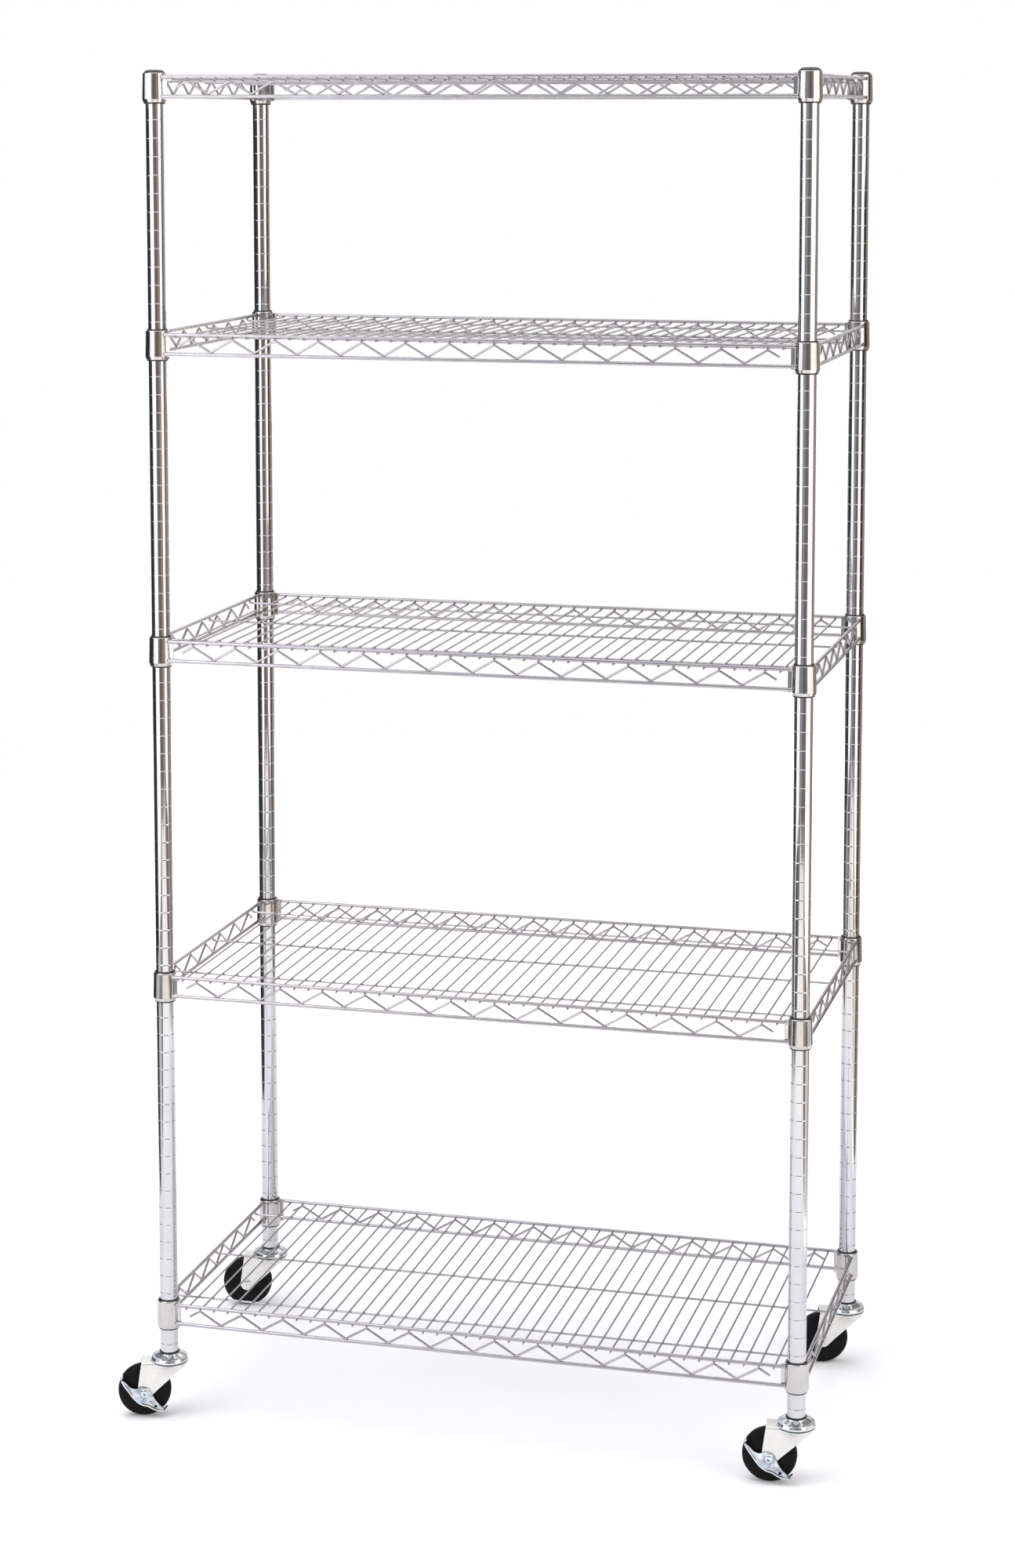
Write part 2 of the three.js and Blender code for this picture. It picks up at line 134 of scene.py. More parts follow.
# The casters are drawn about the post's axis with the floor at z = 0 and the wheel towards -X.
STEM_TOP = POST_FOOT + 34
INSERT_TOP = POST_FOOT + 30
CUP_RADIUS = 27.0
CROWN_TOP = 81.7
CROWN_RADIUS = 26.0
CROWN_BEND = 3.4
CROWN_NECK = -20.2  # where the crown's disc runs out into the legs
FORK_SHEET = 2.5
FORK_ACROSS = 32  # steps from a leg's left edge to its right one
LEG_OUTER = 16.3
LEG_END = 10.5  # the round end's radius about the axle
LEG_FOOT = WHEEL_RADIUS - 10.4
LEG_ROUND = 3.4  # height of the round end's closely spaced rows
FLARE_FOOT = 60.0  # where a leg starts to widen towards the crown
# (height, reach) of a leg's two edges above its round end.
LEG_LEFT = [(WHEEL_RADIUS, -CASTER_TRAIL - LEG_END), (60.0, -43.6), (CROWN_TOP, -40.5)]
LEG_RIGHT = [
    (31.3, -28.0), (42.0, -17.0), (50.0, -8.0), (58.0, 1.0), (63.0, 6.6), (68.0, 11.2),
    (72.5, 16.5), (75.5, 21.5), (78.3, 25.0), (CROWN_TOP, 25.2),
]
# The shallow rib pressed down each leg: its height, half width, place at the axle and lean.
RIB_HEIGHT = 0.8
RIB_WIDTH = 3.0
RIB_PLACE = 9
RIB_LEAN = 0.25
RIB_FOOT = 46
RIB_FULL = 54

WHEEL_HALF = 12.5
BUSH_HALF = 13.5
BUSH_RADIUS = 7.0
AXLE_RADIUS = 4.0
HEAD_RADIUS = 5.9

# The brake lever is drawn about the axle with its length along X and its face towards -Y.
LEVER_FACE = -18.5
LEVER_TILT = radians(37)
LEVER_TIP = 38.0
LEVER_SHEET = 1.5
LEVER_COLUMNS = 76
# (place along the lever, height) of its upper and lower edge.
LEVER_UPPER = [
    (-38, -3.2), (-30, -3.4), (-22, -4.8), (-15, -2.6), (-9, 4.0), (-3, 7.4), (3, 7.4),
    (9, 5.2), (16, 1.8), (24, -0.8), (31, -2.0), (38, -3.0),
]
LEVER_LOWER = [
    (-38, -4.6), (-33, -7.0), (-27, -9.4), (-19, -11.8), (-11, -14.6), (-4, -16.2), (2, -16.6),
    (9, -15.6), (15, -13.2), (20, -12.4), (26, -11.6), (32, -9.2), (38, -4.6),
]
LEVER_HOLE = (24.6, -6.6)
LEVER_HOLE_RADIUS = 2.1
LEVER_RIVET = (14.0, -5.6)
LEVER_BORE = 4.3
SHOE_PLACE = 39.4
LIP_RADIUS = 1.1
LIP_STEPS = 48

# ---------------------------------------------------------------- camera and studio, in metres

CAMERA_LENS = 73.4
CAMERA_SHIFT = -0.2
CAMERA_YAW = radians(14.87)
CAMERA_PITCH = radians(6.32)
CAMERA_FROM_RACK = Vector((1.1556, -4.3953, 1.864))

PAPER_WIDTH = 2.9
PAPER_FRONT = 4.0
PAPER_BACK = 5.0
PAPER_TONES = [(0.3, (0.69, 0.69, 0.715)), (0.7, (0.72, 0.72, 0.745))]
# The paper's own light, from GLOW_REACH metres away to the rack's middle.
GLOW_REACH = 3
PAPER_GLOW = [
    (0.0, (0.76, 0.72, 0.64)),
    (0.35, (0.54, 0.51, 0.46)),
    (0.6, (0.2, 0.2, 0.2)),
    (1.0, (0.12, 0.12, 0.12)),
]

# Name, place and aim as (right, front, up), width, height and radiance of each glowing panel.
CARDS = [
    ("left_card", (-1.2, 1.02, 1.55), (0, 1.02, 1.55), 1.36, 2.1, 1.6),
    ("left_card_foot", (-1.2, 0.38, 0.29), (0, 0.38, 0.29), 0.56, 0.42, 0.75),
    ("right_card", (1.08, 0.97, 1.55), (0, 0.97, 1.55), 1.26, 2.1, 1.6),
    ("right_card_foot", (1.08, 0.38, 0.29), (0, 0.38, 0.29), 0.56, 0.42, 0.75),
    ("backdrop", (0, -1.8, 1.93), (0, 0, 1.93), 2.8, 1.35, 0.95),
    ("backdrop_foot", (0, -1.8, 0.63), (0, 0, 0.63), 2.8, 1.22, 0.3),
    ("upper_right", (2.0, 1.2, 2.4), (0, 0, 0.9), 1.6, 1.6, 1.4),
    ("upper_left", (-2.0, 0.5, 2.6), (0, 0, 0.9), 1.8, 1.8, 1.6),
    ("overhead", (0, 0.2, 3.4), (0, 0.2, 0), 2.6, 4.4, 1.0),
]
SUN_STRENGTH = 1.75
SUN_SPREAD = radians(50)
SUN_FROM = (-0.5, -0.15, 2.4)

# Tones of the dim room from -X to +X, which only reflections and soft light see.
ROOM_TONES = [
    (0.0, (0.04, 0.04, 0.04)),
    (0.16, (0.12, 0.12, 0.13)),
    (0.33, (0.46, 0.48, 0.53)),
    (0.48, (0.32, 0.32, 0.34)),
    (0.62, (0.18, 0.165, 0.16)),
    (0.76, (0.32, 0.265, 0.22)),
    (0.88, (0.56, 0.48, 0.41)),
    (0.95, (0.3, 0.26, 0.23)),
    (1.0, (0.04, 0.04, 0.04)),
]

# ---------------------------------------------------------------- forms


class Form:
    """Closed shells gathered into one mesh. A shell is its points and its faces."""

    def __init__(self):
        self.points = []
        self.faces = []

    def add(self, shell, place=None):
        points, faces = shell
        first = len(self.points)
        place = place or Matrix.Identity(4)
        self.points += [place @ Vector(p) for p in points]
        self.faces += [tuple(first + i for i in face) for face in faces]
        return self


def filleted(corners, radius, steps=5, closed=False):
    """The line through the corners, with each bend rounded to the radius."""
    corners = [Vector(corner) for corner in corners]
    line = []
    for i, corner in enumerate(corners):
        back = corners[i - 1] - corner
        ahead = corners[(i + 1) % len(corners)] - corner
        end = not closed and i in (0, len(corners) - 1)
        if end or back.angle(ahead) > radians(176):
            line.append(corner)
            continue
        half = back.angle(ahead) / 2
        reach = min(radius / tan(half), 0.48 * back.length, 0.48 * ahead.length)
        back.normalize()
        ahead.normalize()
        centre = corner + (back + ahead).normalized() * (reach / cos(half))
        start = corner + back * reach - centre
        stop = corner + ahead * reach - centre
        sweep = pi - 2 * half
        for k in range(steps + 1):
            t = k / steps
            spoke = start * sin((1 - t) * sweep) + stop * sin(t * sweep)
            line.append(centre + spoke / sin(sweep))
    return line


def rounded(corners, radius, steps=5):
    """A turned profile with its bends rounded, as plain pairs."""
    return [tuple(p) for p in filleted(corners, radius, steps)]


def revolved(profile, sides=48, start=0.0, stop=2 * pi, ring=False):
    """A shell of revolution about +Z from (radius, height) pairs, outside listed upwards. A ring's
    profile closes on itself; any other starts and ends on the axis. A part turn has flat ends."""
    whole = abs(stop - start - 2 * pi) < 1e-6
    columns = sides if whole else sides + 1
    points, rows, faces = [], [], []
    for r, z in profile:
        first = len(points)
        if r < 1e-6:
            points.append((0, 0, z))
            rows.append([first] * columns)
            continue
        for k in range(columns):
            a = start + (stop - start) * k / sides
            points.append((r * cos(a), r * sin(a), z))
        rows.append([first + k for k in range(columns)])
    above = rows[1:] + (rows[:1] if ring else [])
    for low, high in zip(rows, above):
        for k in range(sides):
            n = (k + 1) % columns
            face = tuple(dict.fromkeys((low[k], low[n], high[n], high[k])))
            if len(face) > 2:
                faces.append(face)
    if not whole:
        faces.append(tuple(row[0] for row in rows))
        faces.append(tuple(row[-1] for row in reversed(rows)))
    return points, faces


def tube(path, radius, sides=12, chamfer=0.0):
    """A round bar along a path, with chamfered ends."""
    path = [Vector(p) for p in path]
    radii = [radius] * len(path)
    if chamfer:
        ahead = (path[1] - path[0]).normalized() * chamfer
        behind = (path[-1] - path[-2]).normalized() * chamfer
        path = [path[0], path[0] + ahead] + path[1:-1] + [path[-1] - behind, path[-1]]
        radii = [radius - chamfer] + radii + [radius - chamfer]
    points, faces = [], []
    side = None
    for i, point in enumerate(path):
        heading = (path[min(i + 1, len(path) - 1)] - path[max(i - 1, 0)]).normalized()
        if side is None:
            side = heading.orthogonal()
        side = (side - heading * side.dot(heading)).normalized()
        other = heading.cross(side)
        for k in range(sides):
            a = 2 * pi * (k + 0.5) / sides
            points.append(point + (side * cos(a) + other * sin(a)) * radii[i])
    for i in range(len(path) - 1):
        low, high = i * sides, (i + 1) * sides
        for k in range(sides):
            n = (k + 1) % sides
            faces.append((low + k, low + n, high + n, high + k))
    last = (len(path) - 1) * sides
    faces.append(tuple(reversed(range(sides))))
    faces.append(tuple(range(last, last + sides)))
    return points, faces


def slab(outline, low, high, chamfer=0.4):
    """An outline in X and Y, counter-clockwise, thickened from low to high with eased edges."""
    outline = [Vector(p).to_2d() for p in outline]
    count = len(outline)
    inner = []
    for i, corner in enumerate(outline):
        back = (outline[i - 1] - corner).normalized()
        ahead = (outline[(i + 1) % count] - corner).normalized()
        inward = Vector((-ahead.y, ahead.x)) + Vector((back.y, -back.x))
        inward.normalize()
        lean = max(0.3, abs(inward.dot(Vector((-ahead.y, ahead.x)))))
        inner.append(corner + inward * (chamfer / lean))
    layers = [(inner, low), (outline, low + chamfer), (outline, high - chamfer), (inner, high)]
    points = [(p.x, p.y, z) for line, z in layers for p in line]
    faces = [tuple(reversed(range(count))), tuple(range(3 * count, 4 * count))]
    for layer in range(3):
        low_row, high_row = layer * count, (layer + 1) * count
        for i in range(count):
            n = (i + 1) % count
            faces.append((low_row + i, low_row + n, high_row + n, high_row + i))
    return points, faces


def turned_over(shell):
    """The shell with its faces wound the other way, for a place that mirrors it."""
    points, faces = shell
    return points, [tuple(reversed(face)) for face in faces]


def bead(centre, radii, rings=6, sides=10):
    """A small rounded lump of weld metal."""
    turns = [pi * (k / rings - 0.5) for k in range(1, rings)]
    profile = [(0, -1)] + [(cos(a), sin(a)) for a in turns] + [(0, 1)]
    points, faces = revolved(profile, sides)
    stretch = Matrix.Diagonal(radii)
    return [Vector(centre) + stretch @ Vector(p) for p in points], faces


def sheet_metal(rows, thickness):
    """A sheet of the given thickness whose outer side is a grid of points. Rows run across."""
    across = len(rows[0])
    outer = [Vector(p) for row in rows for p in row]
    inner = []
    for i, row in enumerate(rows):
        for j, point in enumerate(row):
            down = Vector(rows[min(i + 1, len(rows) - 1)][j]) - Vector(rows[max(i - 1, 0)][j])
            over = Vector(row[min(j + 1, across - 1)]) - Vector(row[max(j - 1, 0)])
            inner.append(Vector(point) + down.cross(over).normalized() * thickness)
    count = len(outer)
    faces = []
    for i in range(len(rows) - 1):
        for j in range(across - 1):
            a = i * across + j
            b, c, d = a + 1, a + across + 1, a + across
            faces.append((a, b, c, d))
            faces.append((count + d, count + c, count + b, count + a))
    rim = list(range(across))
    rim += [i * across + across - 1 for i in range(1, len(rows))]
    rim += [(len(rows) - 1) * across + j for j in reversed(range(across - 1))]
    rim += [i * across for i in reversed(range(1, len(rows) - 1))]
    for k, a in enumerate(rim):
        b = rim[(k + 1) % len(rim)]
        faces.append((b, a, count + a, count + b))
    return outer + inner, faces


def risen(value, start, stop):
    """From 0 at start to 1 at stop, and level beyond them."""
    return min(max((value - start) / (stop - start), 0), 1)


def along(points, t):
    """The height of a smooth curve through (place, height) points."""
    last = len(points) - 1
    i = next((k for k in range(last) if t <= points[k + 1][0]), last - 1)
    (t0, v0), (t1, v1) = points[i], points[i + 1]
    before, after = points[max(i - 1, 0)], points[min(i + 2, last)]
    slope0 = (v1 - before[1]) / (t1 - before[0])
    slope1 = (after[1] - v0) / (after[0] - t0)
    f = risen(t, t0, t1)
    bend0 = slope0 * (t1 - t0) * f * (1 - f) ** 2
    bend1 = slope1 * (t1 - t0) * f * f * (1 - f)
    return v0 + (v1 - v0) * f * f * (3 - 2 * f) + bend0 - bend1


# ---------------------------------------------------------------- materials


def nodes_of(material):
    material.use_nodes = True
    tree = material.node_tree
    return tree, tree.nodes["Principled BSDF"]


def noise(tree, scale, detail=3.0, stretch=(1, 1, 1)):
    """Noise on the object's own coordinates, which are metres."""
    place = tree.nodes.new("ShaderNodeTexCoord")
    mapping = tree.nodes.new("ShaderNodeMapping")
    mapping.inputs["Scale"].default_value = stretch
    texture = tree.nodes.new("ShaderNodeTexNoise")
    texture.inputs["Scale"].default_value = scale
    texture.inputs["Detail"].default_value = detail
    tree.links.new(place.outputs["Object"], mapping.inputs["Vector"])
    tree.links.new(mapping.outputs["Vector"], texture.inputs["Vector"])
    return texture.outputs["Fac"]


def ramp(tree, source, stops):
    """A colour ramp from (position, colour or grey) stops."""
    node = tree.nodes.new("ShaderNodeValToRGB")
    elements = node.color_ramp.elements
    while len(elements) < len(stops):
        elements.new(0.5)
    for element, (position, value) in zip(elements, stops):
        element.position = position
        element.color = (*value, 1) if isinstance(value, tuple) else (value, value, value, 1)
    tree.links.new(source, node.inputs["Fac"])
    return node.outputs["Color"]


def bumped(tree, shader, height, strength, distance):
    bump = tree.nodes.new("ShaderNodeBump")
    bump.inputs["Strength"].default_value = strength
    bump.inputs["Distance"].default_value = distance
    tree.links.new(height, bump.inputs["Height"])
    tree.links.new(bump.outputs["Normal"], shader.inputs["Normal"])


def metal(name, dark, light, rough, clouds, grain, depth=0.00002, metallic=1.0, draw=(1, 1, 1)):
    """Plated metal: clouded tone, uneven gloss, and the fine grain that polishing leaves."""
    material = bpy.data.materials.new(name)
    tree, shader = nodes_of(material)
    shader.inputs["Metallic"].default_value = metallic
    tone = ramp(tree, noise(tree, clouds, 4.0), [(0.3, dark), (0.7, light)])
    tree.links.new(tone, shader.inputs["Base Color"])
    smears = noise(tree, clouds * 2.7, 5.0)
    gloss = ramp(tree, smears, [(0.35, rough[0]), (0.68, rough[1])])
    tree.links.new(gloss, shader.inputs["Roughness"])
    bumped(tree, shader, noise(tree, grain, 2.0, draw), 0.25, depth)
    return material


MOULD_GRAIN = 2500.0
MOULD_DEPTH = 0.00005


def plastic(name, dark, light, rough, sheen=0.5):
    """Moulded plastic or rubber: a slightly mottled tone under a fine moulded grain."""
    material = bpy.data.materials.new(name)
    tree, shader = nodes_of(material)
    shader.inputs["Specular IOR Level"].default_value = sheen
    tone = ramp(tree, noise(tree, 60.0, 4.0), [(0.3, dark), (0.7, light)])
    tree.links.new(tone, shader.inputs["Base Color"])
    scuffs = noise(tree, 130.0, 6.0)
    gloss = ramp(tree, scuffs, [(0.4, rough[0]), (0.65, rough[1])])
    tree.links.new(gloss, shader.inputs["Roughness"])
    bumped(tree, shader, noise(tree, MOULD_GRAIN, 3.0), 0.3, MOULD_DEPTH)
    return material


# Darker and lighter tone, range of roughness, scale of the clouds and of the grain, and for
# some the grain's depth in metres, how metallic the surface is, and how the grain is drawn out.
METALS = {
    "chrome_tube": (
        (0.56, 0.56, 0.575), (0.61, 0.61, 0.625), (0.05, 0.10), 18.0, 700.0, 0.00002, 1.0,
        (1, 1, 0.04),
    ),
    "chrome_wire": ((0.42, 0.40, 0.42), (0.49, 0.47, 0.49), (0.22, 0.32), 45.0, 1200.0),
    # The mat's wires: the same chrome wire painted darker, as painted shade for their dim
    # reflections.
    "mat_wire_painted_shade": ((0.34, 0.325, 0.34), (0.40, 0.385, 0.40), (0.28, 0.38), 45.0, 1200.0),
    "collar_chrome": ((0.50, 0.49, 0.485), (0.56, 0.55, 0.545), (0.08, 0.16), 60.0, 1500.0),
    # Near-black teal: painted shade for the gap between the cup and the crown.
    "gap_shade_steel": ((0.04, 0.06, 0.07), (0.08, 0.11, 0.12), (0.3, 0.45), 90.0, 1500.0),
    "zinc_plate": (
        (0.76, 0.755, 0.73), (0.82, 0.815, 0.79), (0.26, 0.38), 35.0, 700.0, 0.000004, 0.6,
    ),
    # Near white and not metallic, unlike the leaf's own steel: a painted highlight on the rolled
    # edge.
    "lip_painted_highlight": (
        (0.92, 0.93, 0.92), (0.97, 0.98, 0.97), (0.2, 0.3), 60.0, 1500.0, 0.000003, 0.0,
    ),
    "cup_zinc": (
        (0.66, 0.69, 0.71), (0.76, 0.79, 0.80), (0.08, 0.15), 30.0, 1500.0, 0.000003, 0.92,
    ),
    "zinc_bolt": ((0.66, 0.68, 0.73), (0.78, 0.80, 0.85), (0.18, 0.30), 90.0, 1500.0),
    "brake_steel": (
        (0.24, 0.29, 0.34), (0.74, 0.78, 0.82), (0.06, 0.16), 110.0, 800.0, 0.000006,
    ),
}
# Darker and lighter tone, range of roughness, and for the rubber its weak sheen.
PLASTICS = {
    "sleeve_plastic": ((0.012, 0.012, 0.014), (0.022, 0.022, 0.025), (0.34, 0.5)),
    "cap_plastic": ((0.05, 0.045, 0.05), (0.08, 0.07, 0.08), (0.22, 0.34)),
    "wheel_rubber": ((0.003, 0.003, 0.0034), (0.007, 0.007, 0.0075), (0.5, 0.65), 0.12),
    "bush_plastic": ((0.48, 0.48, 0.45), (0.60, 0.60, 0.57), (0.4, 0.55)),
}
MATERIALS = {name: metal(name, *look) for name, look in METALS.items()}
MATERIALS.update({name: plastic(name, *look) for name, look in PLASTICS.items()})

# ---------------------------------------------------------------- pieces


def mesh_of(name, form, sharp=32.0):
    """A mesh in metres from a form in millimetres, smooth except at its sharp edges."""
    mesh = bpy.data.meshes.new(name)
    mesh.from_pydata([p * MM for p in form.points], [], form.faces)
    mesh.validate()
    mesh.polygons.foreach_set("use_smooth", [True] * len(mesh.polygons))
    mesh.set_sharp_from_angle(angle=radians(sharp))
    mesh.update()
    return mesh


# The record's material slot of each finish that isn't named after its slot.
SLOTS = {
    "mat_wire_painted_shade": "chrome_wire",
    "collar_chrome": "chrome_tube",
    "gap_shade_steel": "zinc_plate",
    "cup_zinc": "zinc_plate",
    "lip_painted_highlight": "brake_steel",
}


def piece(name, mesh, place, body, finish, *nodes):
    """A piece in its place, riding on a body and standing for the named CAD nodes."""
    thing = bpy.data.objects.new(name, mesh)
    bpy.context.scene.collection.objects.link(thing)
    thing.matrix_world = place
    if not mesh.materials:
        mesh.materials.append(MATERIALS[finish])
    weighted = thing.modifiers.new("even_shading", "WEIGHTED_NORMAL")
    weighted.keep_sharp = True
    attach(thing, body)
    SLOTS.get(finish, finish)
    if nodes:
        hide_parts(*nodes)
    return thing


# ---------------------------------------------------------------- posts


def groove_heights():
    height = RING_TOPS[1] / MM + GROOVE_ABOVE_RING
    while height - GROOVE_PITCH > POST_FOOT + PLAIN_END:
        height -= GROOVE_PITCH
    while height < POST_TOP - PLAIN_END:
        yield height
        height += GROOVE_PITCH


def post_form():
    """A tube with a shallow rolled groove every inch, from its foot at z = 0 upwards."""
    outside = [(POST_RADIUS - 0.5, 0), (POST_RADIUS, 0.5)]
    for height in groove_heights():
        z = height - POST_FOOT
        for share in (-1.4, -1, -0.6, -0.2, 0.2, 0.6, 1, 1.4):
            dip = GROOVE_DEPTH * (1 + cos(pi * min(abs(share), 1))) / 2
            outside.append((POST_RADIUS - dip, z + share * GROOVE_HALF_WIDTH))
    length = POST_TOP - POST_FOOT
    outside += [(POST_RADIUS, length - 0.4), (POST_RADIUS - 0.4, length)]
    inside = [(POST_BORE, length), (POST_BORE, 0)]
    return Form().add(revolved(outside + inside, 48, ring=True))


def cap_form():
    """A plug with a low domed head, drawn from the post's top edge."""
    rim = POST_RADIUS + 0.2
    head = [(POST_BORE - 0.3, 0.1), (rim, 0.1), (rim, 2.0), (rim - 1.6, 4.0), (rim - 6, 4.75)]
    profile = [(0, -12), (POST_BORE - 0.3, -12)] + rounded(head, 1.3) + [(0, 4.9)]
    return Form().add(revolved(profile, 48))


def sleeve_form():
    """Two tapered half shells about the post, with an inner rib that sits in a groove."""
    outside = [
        (SLEEVE_FOOT_RADIUS - 0.4, -SLEEVE_LENGTH),
        (SLEEVE_FOOT_RADIUS, -SLEEVE_LENGTH + 0.5),
        (SLEEVE_TOP_RADIUS + SLEEVE_SLOPE * 0.5, -0.5),
        (SLEEVE_TOP_RADIUS - 0.4, 0),
    ]
    rib = GROOVE_ABOVE_RING - GROOVE_PITCH
    inside = [
        (SLEEVE_BORE, 0),
        (SLEEVE_BORE, rib + 1),
        (SLEEVE_BORE - 0.3, rib + 0.4),
        (SLEEVE_BORE - 0.3, rib - 0.4),
        (SLEEVE_BORE, rib - 1),
        (SLEEVE_BORE, -SLEEVE_LENGTH),
    ]
    form = Form()
    for half in (0, 1):
        start = half * pi + pi / 4 + SLEEVE_SLIT
        form.add(revolved(outside + inside, 24, start, start + pi - 2 * SLEEVE_SLIT, ring=True))
    return form


def make_posts():
    post = mesh_of("post", post_form())
    cap = mesh_of("post_cap", cap_form())
    sleeve = mesh_of("sleeve", sleeve_form())
    for corner in CORNERS:
        foot = Matrix.Translation((*POSTS[corner].to_2d(), POST_FOOT * MM))
        top = Matrix.Translation((*POSTS[corner].to_2d(), POST_TOP * MM))
        piece(f"tube_{corner}", post, foot, "uprights", "chrome_tube", f"post_{corner}")
        piece(f"cap_{corner}", cap, top, "uprights", "cap_plastic", f"post_cap_{corner}")
        for n in SHELVES:
            ring = Matrix.Translation((*POSTS[corner].to_2d(), RING_TOPS[n]))
            node = f"shelf_{n}_sleeve_{corner}"
            piece(f"sleeve_{n}_{corner}", sleeve, ring, "uprights", "sleeve_plastic", node)


# ---------------------------------------------------------------- shelves


def collar_shell():
    """A tapered ring, swaged in at its foot, which wedges onto the sleeve."""
    outside = [
        (COLLAR_FOOT_RADIUS - 2.2, COLLAR_FOOT),
        (COLLAR_FOOT_RADIUS - 1.3, COLLAR_FOOT),
        (COLLAR_FOOT_RADIUS, COLLAR_FOOT + 4.5),
        (COLLAR_TOP_RADIUS, COLLAR_TOP - 0.8),
        (COLLAR_TOP_RADIUS - 1.0, COLLAR_TOP),
    ]
    bore = SLEEVE_TOP_RADIUS + 0.12
    inside = [(bore - SLEEVE_SLOPE * z, z) for z in (COLLAR_TOP, COLLAR_FOOT)]
    return revolved(rounded(outside, 1.6) + inside, 48, ring=True)


def wing_shell():
    """A flat wing beside the collar, lying along X, for the two rails to be welded to."""
    corners = [(WING_START, WING_FOOT), (WING_END, WING_FOOT)]
    corners += [(WING_END, WING_TOP), (WING_START, WING_TOP)]
    points, faces = slab(filleted(corners, 1.2, 3, closed=True), WING_NEAR, WING_FAR, 0.35)
    upright = Matrix.Rotation(pi / 2, 4, "X") @ Matrix.Scale(-1, 4, (0, 0, 1))
    return turned_over(([upright @ Vector(p) for p in points], faces))


def corner_shells():
    """A collar, its two wings and the weld beads, for a shelf that lies to -X and -Y."""
    wing = wing_shell()
    along_x = Matrix.Scale(-1, 4, (1, 0, 0))
    along_y = Matrix(((0, 1, 0, 0), (1, 0, 0, 0), (0, 0, 1, 0), (0, 0, 0, 1))) @ along_x
    shells = [(collar_shell(), None), (turned_over(wing), along_x), (wing, along_y)]
    for z in (TOP_RAIL_Z, BOTTOM_RAIL_Z):
        end = bead((15.0, RAIL_OFFSET + 0.3, z), (2.2, 2.5, 3.1))
        foot = bead((19.6, WING_FAR + 0.3, z), (1.8, 0.9, 3.0))
        shells += [(turned_over(end), along_x), (turned_over(foot), along_x)]
        shells += [(end, along_y), (foot, along_y)]
    return shells


def zigzag(peaks, period, peak_z, valley_z):
    """The truss wire's centre line in X and Z, with free half strokes at both ends."""
    first = -(peaks - 1) * period / 2
    half_way = (peak_z + valley_z) / 2
    line = [(first - period / 4, 0, half_way)]
    for i in range(peaks):
        line.append((first + i * period, 0, peak_z))
        if i < peaks - 1:
            line.append((first + (i + 0.5) * period, 0, valley_z))
    line.append((-first + period / 4, 0, half_way))
    return filleted(line, TRUSS_BEND, 4)


def long_wire(y):
    """A wire under the mat whose ends turn up to the side rails."""
    end = HALF_X + RAIL_OFFSET
    top = TOP_RAIL_Z - RAIL_RADIUS + WELD_OVERLAP
    line = [(-end, y, top), (-end, y, LONG_WIRE_Z), (end, y, LONG_WIRE_Z), (end, y, top)]
    return tube(filleted(line, LONG_WIRE_BEND, 4), LONG_WIRE_RADIUS, 10)


def rim_form():
    """The welded wires round a shelf, drawn from the middle of its sleeves' top edges."""
    form = Form()
    quarter = Matrix.Rotation(pi / 2, 4, "Z")
    for side in (-1, 1):
        y = side * (HALF_Y + RAIL_OFFSET)
        x = side * (HALF_X + RAIL_OFFSET)
        for z in (TOP_RAIL_Z, BOTTOM_RAIL_Z):
            end_x = HALF_X - RAIL_END
            end_y = HALF_Y - RAIL_END
            form.add(tube([(-end_x, y, z), (end_x, y, z)], RAIL_RADIUS, 20, 0.3))
            form.add(tube([(x, -end_y, z), (x, end_y, z)], RAIL_RADIUS, 20, 0.3))
        truss = zigzag(TRUSS_PEAKS, TRUSS_PERIOD, TRUSS_PEAK_Z, TRUSS_VALLEY_Z)
        form.add(tube(truss, TRUSS_RADIUS, 12, 0.3), Matrix.Translation((0, y, 0)))
        truss = zigzag(SIDE_TRUSS_PEAKS, SIDE_TRUSS_PERIOD, SIDE_TRUSS_PEAK_Z, TRUSS_VALLEY_Z)
        form.add(tube(truss, TRUSS_RADIUS, 12, 0.3), Matrix.Translation((x, 0, 0)) @ quarter)
        form.add(long_wire(side * (HALF_Y - LONG_WIRE_INSET)))
    return form


def collars_form():
    """The four collars of a shelf, with their wings and welds, drawn about the same middle."""
    form = Form()
    shells = corner_shells()
    for sign_x, sign_y in ((-1, -1), (1, -1), (-1, 1), (1, 1)):
        turn = Matrix.Rotation(atan2(sign_y, sign_x) - pi / 4, 4, "Z")
        place = Matrix.Translation((sign_x * HALF_X, sign_y * HALF_Y, 0)) @ turn
        for shell, own in shells:
            form.add(shell, place @ own if own else place)
    return form


def mat_form():
    """Cross wires from rail to rail, over the middle long wire."""
    form = Form()
    for i in range(CROSS_WIRES):
        x = -HALF_X + FIRST_WIRE_INSET + i * WIRE_PITCH
        ends = [(x, -CROSS_WIRE_REACH, CROSS_WIRE_Z), (x, CROSS_WIRE_REACH, CROSS_WIRE_Z)]
        form.add(tube(ends, CROSS_WIRE_RADIUS, 12, 0.35))
    form.add(long_wire(0.0))
    return form


def make_shelves():
    rim = mesh_of("shelf_rim", rim_form())
    collars = mesh_of("shelf_collars", collars_form())
    mat = mesh_of("shelf_mat", mat_form())
    for n in SHELVES:
        place = Matrix.Translation((RACK_MIDDLE.x, RACK_MIDDLE.y, RING_TOPS[n]))
        piece(f"rim_{n}", rim, place, f"shelf_{n}", "chrome_wire", f"shelf_{n}_frame")
        piece(f"collars_{n}", collars, place, f"shelf_{n}", "collar_chrome", f"shelf_{n}_frame")
        # The mat takes the darker copy of the chrome wire, which is painted shade.
        piece(f"mat_{n}", mat, place, f"shelf_{n}", "mat_wire_painted_shade", f"shelf_{n}_wire_mat")


# ---------------------------------------------------------------- casters


